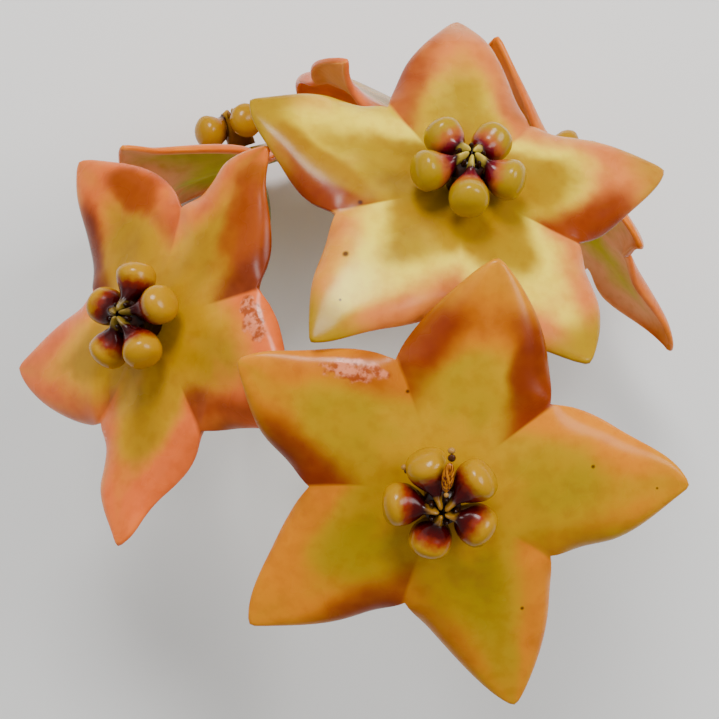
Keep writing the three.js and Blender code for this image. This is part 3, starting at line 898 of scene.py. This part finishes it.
# Colours of the coronas, and how far out the maroon turns to the ball's colour, from 0 to 1.
coronaLooks = {
    "amber": {
        "ball": 0xB08000, "flush": 0x8A2600, "maroon": 0x4B0000, "tongue": 0x8A6018, "dark": 0x220A02,
        "turn": 0.57,
    },
    "primrose": {
        "ball": 0xA88400, "flush": 0xB05A20, "maroon": 0x6A0818, "tongue": 0xC0A840, "dark": 0x220A02,
        "turn": 0.5,
    },
    "peach": {
        "ball": 0xB48200, "flush": 0x7C1C00, "maroon": 0x400000, "tongue": 0x7C6420, "dark": 0x220A02,
        "turn": 0.55,
    },
    "honey": {
        "ball": 0xB08000, "flush": 0xA86800, "maroon": 0x9C5C00, "tongue": 0xA87A20, "dark": 0x7A4A00,
        "turn": 0.57,
    },
}

coronaPolish = {
    "waver": 0.035,           # how far the borders of the colours wander, as a share of a lobe
    "waverSize": 0.9,
    "tongueFrom": 0.16, "tongueTo": 0.25, "crease": 0x2C0202,
    "maroonBefore": 0.12, "ballAfter": 0.15,
    # painted shade: near-black on the low, inner part of each lobe
    "lowFrom": 0.2, "lowTo": 0.75, "innerFrom": 0.4, "innerTo": 0.7, "paintedLowShade": 0x240404,
    "stripeSize": 0.2, "stripeStretch": (1.0, 0.1, 1.0), "stripes": [(0.4, 0x5A1E00), (0.6, 0xC87A10)],
    "brown": 0x4A2408, "sand": 0xA07434,
    "roughness": 0.22, "shine": 0.3, "lightDepth": 0.8,
}


# Polished wax of the corona: the same tissue as the petals but glossier, golden outside and maroon
# inside, with painted shade on the low, inner part of each lobe. What lies on it is coloured by its mark.
def coronaWax(look):
    wax = coronaPolish
    colours = {key: linearColour(value) for key, value in coronaLooks[look].items() if key != "turn"}
    turn = coronaLooks[look]["turn"]
    material, tree, place = newMaterial(f"{look} corona wax")
    outward = addNode(tree, "ShaderNodeAttribute", {"attribute_name": "outward"}).outputs["Fac"]
    upward = addNode(tree, "ShaderNodeAttribute", {"attribute_name": "upward"}).outputs["Fac"]
    noise = addNode(tree, "ShaderNodeTexNoise", None, {
        "Vector": place, "Scale": 1 / (wax["waverSize"] * mm), "Detail": 2.0,
    })
    waver = addNode(tree, "ShaderNodeMapRange", None, {
        "Value": noise.outputs["Fac"], "From Min": 0.3, "From Max": 0.7,
        "To Min": -wax["waver"], "To Max": wax["waver"],
    })
    wavering = addNode(tree, "ShaderNodeMath", {"operation": "ADD"}, {0: outward, 1: waver.outputs["Result"]})
    ramp = addNode(tree, "ShaderNodeValToRGB", None, {0: wavering.outputs[0]})
    fillRamp(ramp, [
        (0.0, colours["tongue"]), (wax["tongueFrom"], colours["tongue"]),
        (wax["tongueTo"], linearColour(wax["crease"])), (turn - wax["maroonBefore"], colours["maroon"]),
        (turn, colours["flush"]), (turn + wax["ballAfter"], colours["ball"]),
    ])
    # painted shade: the low, inner part of each lobe is darkened towards near-black, where the lobes crowd
    # over the column
    shades = []
    for way, start, end in ((upward, "lowFrom", "lowTo"), (outward, "innerFrom", "innerTo")):
        shades.append(addNode(tree, "ShaderNodeMapRange", {"interpolation_type": "SMOOTHSTEP"}, {
            "Value": way, "From Min": wax[start], "From Max": wax[end], "To Min": 1.0, "To Max": 0.0,
        }).outputs["Result"])
    shade = addNode(tree, "ShaderNodeMath", {"operation": "MULTIPLY"}, {0: shades[0], 1: shades[1]})
    colour = addNode(tree, "ShaderNodeMix", {"data_type": "RGBA"}, {
        0: shade.outputs[0], 6: ramp.outputs[0], 7: linearColour(wax["paintedLowShade"]),
    }).outputs[2]
    drawn = addNode(tree, "ShaderNodeVectorMath", {"operation": "MULTIPLY"}, {
        0: place, 1: wax["stripeStretch"],
    })
    stripes = addNode(tree, "ShaderNodeTexNoise", None, {
        "Vector": drawn.outputs[0], "Scale": 1 / (wax["stripeSize"] * mm), "Detail": 1.0,
    })
    striped = addNode(tree, "ShaderNodeValToRGB", None, {0: stripes.outputs["Fac"]})
    fillRamp(striped, [(position, linearColour(value)) for position, value in wax["stripes"]])
    shown = {
        "brown": linearColour(wax["brown"]), "dark": colours["dark"],
        "striped": striped.outputs[0], "sand": linearColour(wax["sand"]),
    }
    for mark, value in coronaMarks.items():
        isMarked = addNode(tree, "ShaderNodeMath", {"operation": "COMPARE"}, {0: outward, 1: value, 2: 0.5})
        colour = addNode(tree, "ShaderNodeMix", {"data_type": "RGBA"}, {
            0: isMarked.outputs[0], 6: colour, 7: shown[mark],
        }).outputs[2]
    shader = addNode(tree, "ShaderNodeBsdfPrincipled", None, {
        "Base Color": colour, "Roughness": wax["roughness"], "IOR": 1.45, "Specular IOR Level": wax["shine"],
        "Subsurface Weight": 0.2, "Subsurface Scale": wax["lightDepth"] * mm,
        "Subsurface Radius": (1.0, 0.6, 0.2),
    })
    addNode(tree, "ShaderNodeOutputMaterial", None, {"Surface": shader.outputs["BSDF"]})
    return material


# Sizes of the calyx in millimetres: five short sepals on a small dome behind the corolla.
calyxShape = {
    "sepals": 5,
    "length": 4.4,
    "halfWidth": 1.35,
    "thickness": 0.45,
    "taperFrom": 0.3,         # the share of a sepal's length where it begins to narrow
    "taperTo": 0.55,
    "sag": 0.105,
    "domeRadius": 2.3,
    "domeDrop": 0.55,
    "domeFlatness": 0.6,
    "gap": 0.3,
}


def calyxTree():
    shape = calyxShape
    tree, given = newTree("calyx", {
        "Sepals": ("NodeSocketInt", shape["sepals"]),
        "Length": ("NodeSocketFloat", shape["length"] * mm),
        "Half width": ("NodeSocketFloat", shape["halfWidth"] * mm),
        "Thickness": ("NodeSocketFloat", shape["thickness"] * mm),
        "Dome radius": ("NodeSocketFloat", shape["domeRadius"] * mm),
        "Material": ("NodeSocketMaterial", None),
    })
    ball = addNode(tree, "GeometryNodeMeshUVSphere", None, {"Segments": 20, "Rings": 14, "Radius": 1.0})
    spot = addNode(tree, "ShaderNodeSeparateXYZ", None, {
        0: addNode(tree, "GeometryNodeInputPosition").outputs[0],
    })
    along = addNode(tree, "ShaderNodeMapRange", None, {
        "Value": spot.outputs[0], "From Min": -1.0, "From Max": 1.0,
    }).outputs["Result"]
    taper = addNode(tree, "ShaderNodeMapRange", None, {
        "Value": along, "From Min": shape["taperFrom"], "From Max": 1.0,
        "To Min": 1.0, "To Max": shape["taperTo"],
    }).outputs["Result"]
    scaled = []
    for share, size in ((along, "Length"), (spot.outputs[1], "Half width"), (spot.outputs[2], "Thickness")):
        scaled.append(addNode(tree, "ShaderNodeMath", {"operation": "MULTIPLY"}, {
            0: share, 1: given[size],
        }).outputs[0])
    out, wide, up = scaled
    tapered = addNode(tree, "ShaderNodeMath", {"operation": "MULTIPLY"}, {0: wide, 1: taper})
    sagged = addNode(tree, "ShaderNodeMath", {"operation": "MULTIPLY_ADD"}, {0: out, 1: -shape["sag"], 2: up})
    shaped = addNode(tree, "ShaderNodeCombineXYZ", None, {
        0: out, 1: tapered.outputs[0], 2: sagged.outputs[0],
    })
    sepal = addNode(tree, "GeometryNodeSetPosition", None, {
        "Geometry": ball.outputs["Mesh"], "Position": shaped.outputs[0],
    })
    dome = addNode(tree, "GeometryNodeMeshUVSphere", None, {
        "Segments": 24, "Rings": 14, "Radius": given["Dome radius"],
    })
    flattened = addNode(tree, "GeometryNodeTransform", None, {
        "Geometry": dome.outputs["Mesh"], "Translation": (0.0, 0.0, -shape["domeDrop"] * mm),
        "Scale": (1.0, 1.0, shape["domeFlatness"]),
    })
    ring = ringOf(tree, sepal.outputs[0], given["Sepals"])
    finishTree(tree, [ring, flattened.outputs[0]], given["Material"])
    return tree


stemPaint = {
    "stops": [(0.35, 0x7C8A2E), (0.68, 0xA89A48)], "patchSize": 4.0,
    "grainSize": 0.5, "grainDepth": 0.1, "grainStrength": 0.25,
    "roughness": 0.45, "lightDepth": 0.8,
}


# Living green stem: a fine grain under a satin skin, tinged brown in patches.
def stemSkin():
    paint = stemPaint
    material, tree, place = newMaterial("green stem skin")
    patches = addNode(tree, "ShaderNodeTexNoise", None, {
        "Vector": place, "Scale": 1 / (paint["patchSize"] * mm), "Detail": 4.0,
    }).outputs["Fac"]
    grain = addNode(tree, "ShaderNodeTexNoise", None, {
        "Vector": place, "Scale": 1 / (paint["grainSize"] * mm), "Detail": 2.0,
    }).outputs["Fac"]
    ramp = addNode(tree, "ShaderNodeValToRGB", None, {0: patches})
    fillRamp(ramp, [(position, linearColour(value)) for position, value in paint["stops"]])
    bump = addNode(tree, "ShaderNodeBump", None, {
        "Strength": paint["grainStrength"], "Distance": paint["grainDepth"] * mm, "Height": grain,
    })
    shader = addNode(tree, "ShaderNodeBsdfPrincipled", None, {
        "Base Color": ramp.outputs[0], "Roughness": paint["roughness"], "IOR": 1.45,
        "Normal": bump.outputs["Normal"],
        "Subsurface Weight": 0.08, "Subsurface Scale": paint["lightDepth"] * mm,
    })
    addNode(tree, "ShaderNodeOutputMaterial", None, {"Surface": shader.outputs["BSDF"]})
    return material


# Sizes of the stems in millimetres. An outline gives a stem's thickness from its start, at 0, to its
# end, at 1, where 0.5 is the plain stem and 1 is twice as thick.
stemShape = {
    "sides": 20,
    "pedicelRadius": 1.0,
    "pedicelOutline": [(0, 0.75), (0.05, 0.66), (0.12, 0.5), (0.9, 0.5), (1, 0.6)],
    "behindFlower": 2.7,      # how far behind the corolla a pedicel starts
    "straight": 5,            # how far it runs straight out of the flower's back
    "headPlace": (4.7, -4.6, 32.4),
    "headRadius": 3.6,
    "sunkInHead": 0.2,
    "peduncleRadius": 1.8,
    "peduncleOutline": [(0, 0.9), (0.04, 1), (0.09, 0.85), (0.16, 0.52), (0.95, 0.5), (1, 0.52)],
    "cutEnd": (-8.3, -34.6, 1.9),
    "headPull": (0.2, 0.3, 0.75),     # how far the stalk leaves the head straight, as shares of the drop
    "cutPull": (0.4, 0.35),
    "cutRise": 1,
}


# A smooth route through points, without loops where they are close together.
def centripetalRoute(points, perSpan=12):
    p = [Vector(q) for q in points]
    p = [p[0] * 2 - p[1], *p, p[-1] * 2 - p[-2]]
    route = [p[1]]
    for a, b, c, d in zip(p, p[1:], p[2:], p[3:]):
        d0, d1, d2 = [math.sqrt((e - f).length) for e, f in ((a, b), (b, c), (c, d))]
        leave = ((b - a) / d0 - (c - a) / (d0 + d1) + (c - b) / d1) * d1
        arrive = ((c - b) / d1 - (d - b) / (d1 + d2) + (d - c) / d2) * d1
        for i in range(1, perSpan + 1):
            t = i / perSpan
            route.append(
                b * (2 * t ** 3 - 3 * t ** 2 + 1) + leave * (t ** 3 - 2 * t ** 2 + t)
                + c * (3 * t ** 2 - 2 * t ** 3) + arrive * (t ** 3 - t ** 2))
    return route


def bezierRoute(a, b, c, d, steps=24):
    return [
        a * (1 - t) ** 3 + b * 3 * t * (1 - t) ** 2 + c * 3 * t * t * (1 - t) + d * t ** 3
        for t in (i / steps for i in range(steps + 1))
    ]


def routeMesh(name, route):
    mesh = bpy.data.meshes.new(name)
    mesh.from_pydata([tuple(p * mm) for p in route], [(i, i + 1) for i in range(len(route) - 1)], [])
    return mesh


# A round stem along a route, whose radius follows an outline from its start to its end.
def stemTree(name, outline):
    tree, given = newTree(name, {
        "Radius": ("NodeSocketFloat", stemShape["pedicelRadius"] * mm),
        "Sides": ("NodeSocketInt", stemShape["sides"]),
        "Material": ("NodeSocketMaterial", None),
    })
    curve = addNode(tree, "GeometryNodeMeshToCurve", None, {0: given["Geometry"]})
    share = addNode(tree, "GeometryNodeSplineParameter").outputs["Factor"]
    profile = addNode(tree, "ShaderNodeFloatCurve", None, {"Value": share})
    shapeCurve(profile, outline)
    swell = addNode(tree, "ShaderNodeMath", {"operation": "MULTIPLY"}, {0: profile.outputs[0], 1: 2.0})
    circle = addNode(tree, "GeometryNodeCurvePrimitiveCircle", None, {
        "Resolution": given["Sides"], "Radius": given["Radius"],
    })
    skin = addNode(tree, "GeometryNodeCurveToMesh", None, {
        "Curve": curve.outputs[0], "Profile Curve": circle.outputs[0], "Scale": swell.outputs[0],
        "Fill Caps": True,
    })
    finishTree(tree, [skin.outputs[0]], given["Material"])
    return tree


# Puts a finished mesh in the scene as the piece that stands for a node.
def addPiece(name, mesh, node):
    piece = bpy.data.objects.new(name, mesh)
    bpy.context.collection.objects.link(piece)
    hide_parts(node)
    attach(piece, "root")
    return piece


coronas = {look: coronaWax(look) for look in coronaLooks}
green = stemSkin()
corona = coronaTree()
calyx = calyxTree()
print("materials and trees ready")

for number, flower in enumerate(flowers, 1):
    matrix = flowerMatrix(flower)
    toUmbel = Matrix.Scale(mm, 4) @ matrix @ Matrix.Scale(1 / mm, 4)
    mesh = corollaMesh(f"petals_{number}", flower)
    addPiece(f"petals_{number}", mesh, f"corolla_{number}")

    crown = flower["crown"]
    mesh = growMesh(f"crown_{number}", corona, {
        "Material": coronas[crown["look"]], "Litter": crown["litter"],
        "Reach": crown["reach"] * mm, "Half width": crown["halfWidth"] * mm,
    })
    mesh.transform(toUmbel @ Matrix.Rotation(math.radians(crown["lean"]), 4, "X"))
    addPiece(f"crown_{number}", mesh, f"corona_{number}")

    mesh = growMesh(f"sepals_{number}", calyx, {"Material": green})
    sunk = flowerShape["thickMiddle"] + calyxShape["gap"] + calyxShape["thickness"]
    mesh.transform(toUmbel @ Matrix.Translation((0, 0, -sunk * mm)))
    addPiece(f"sepals_{number}", mesh, f"calyx_{number}")
    print("flower", number, "made")

pedicelTree = stemTree("pedicel", stemShape["pedicelOutline"])
head = Vector(stemShape["headPlace"])
for number, flower in enumerate(flowers, 1):
    n = Vector(flower["facing"]).normalized()
    start = Vector(flower["place"]) - n * (flowerShape["thickMiddle"] + stemShape["behindFlower"])
    bends = [Vector(p) for p in flower["bends"]]
    end = head + (bends[-1] - head).normalized() * (stemShape["headRadius"] - stemShape["sunkInHead"])
    route = centripetalRoute([start, start - n * stemShape["straight"], *bends, end])
    mesh = growMesh(f"stem_{number}", pedicelTree, {"Material": green}, routeMesh(f"route_{number}", route))
    addPiece(f"stem_{number}", mesh, f"pedicel_{number}")

cut = Vector(stemShape["cutEnd"])
drop = head - cut
headPull, cutPull = stemShape["headPull"], stemShape["cutPull"]
route = bezierRoute(
    head,
    head - Vector([pull * fall for pull, fall in zip(headPull, drop)]),
    cut + Vector((drop.x * cutPull[0], drop.y * cutPull[1], stemShape["cutRise"])),
    cut,
)
stalkTree = stemTree("stalk", stemShape["peduncleOutline"])
radius = stemShape["peduncleRadius"] * mm
mesh = growMesh("stalk", stalkTree, {"Material": green, "Radius": radius}, routeMesh("route_stalk", route))
addPiece("stalk", mesh, "peduncle")
print("stems made")


# A plain pale floor under soft studio light, seen by a camera that looks straight down.
studio = {
    "floor": 0xF4F4F2, "floorSize": 3.0, "floorRoughness": 0.9,
    "cameraHeight": 232.4, "cameraOver": (-0.3, -1.6), "nearest": 0.01,
    "focalPixels": 1536, "imagePixels": 719, "sensor": 36.0,
    "world": 0.4,
    "lampAim": (0, 0, 0.05),
    "lamps": {
        "key": {"place": (-0.04, 0.29, 0.36), "size": 0.14, "power": 1.4},
        "left": {"place": (-0.25, 0.18, 0.36), "size": 0.5, "power": 0.4},
        "right": {"place": (0.24, 0.10, 0.36), "size": 0.2, "power": 1.0},
    },
}


def addFloor():
    half = studio["floorSize"] / 2
    corners = [(-half, -half, 0), (half, -half, 0), (half, half, 0), (-half, half, 0)]
    mesh = bpy.data.meshes.new("floor")
    mesh.from_pydata(corners, [], [(0, 1, 2, 3)])
    floor = bpy.data.objects.new("floor", mesh)
    bpy.context.collection.objects.link(floor)
    material = bpy.data.materials.new("matt paper floor")     # pulp pressed smooth, with hardly a shine
    material.use_nodes = True
    shader = material.node_tree.nodes["Principled BSDF"]
    shader.inputs["Base Color"].default_value = linearColour(studio["floor"])
    shader.inputs["Roughness"].default_value = studio["floorRoughness"]
    mesh.materials.append(material)


def addAreaLight(name, place, size, power):
    light = bpy.data.lights.new(name, "AREA")
    light.shape = "DISK"
    light.size = size
    light.energy = power
    lamp = bpy.data.objects.new(name, light)
    lamp.location = place
    aim = Vector(studio["lampAim"]) - Vector(place)
    lamp.rotation_euler = aim.to_track_quat("-Z", "Y").to_euler()
    bpy.context.collection.objects.link(lamp)


def addCamera():
    data = bpy.data.cameras.new("camera")
    data.sensor_width = studio["sensor"]
    data.lens = studio["focalPixels"] / studio["imagePixels"] * studio["sensor"]
    data.clip_start = studio["nearest"]
    camera = bpy.data.objects.new("camera", data)
    overX, overY = studio["cameraOver"]
    camera.location = (overX * mm, overY * mm, studio["cameraHeight"] * mm)
    bpy.context.collection.objects.link(camera)
    bpy.context.scene.camera = camera


world = bpy.data.worlds.new("studio")
world.use_nodes = True
world.node_tree.nodes["Background"].inputs["Color"].default_value = (1, 1, 1, 1)
world.node_tree.nodes["Background"].inputs["Strength"].default_value = studio["world"]
bpy.context.scene.world = world
addFloor()
for name, lamp in studio["lamps"].items():
    addAreaLight(name, **lamp)
addCamera()
print("studio ready")
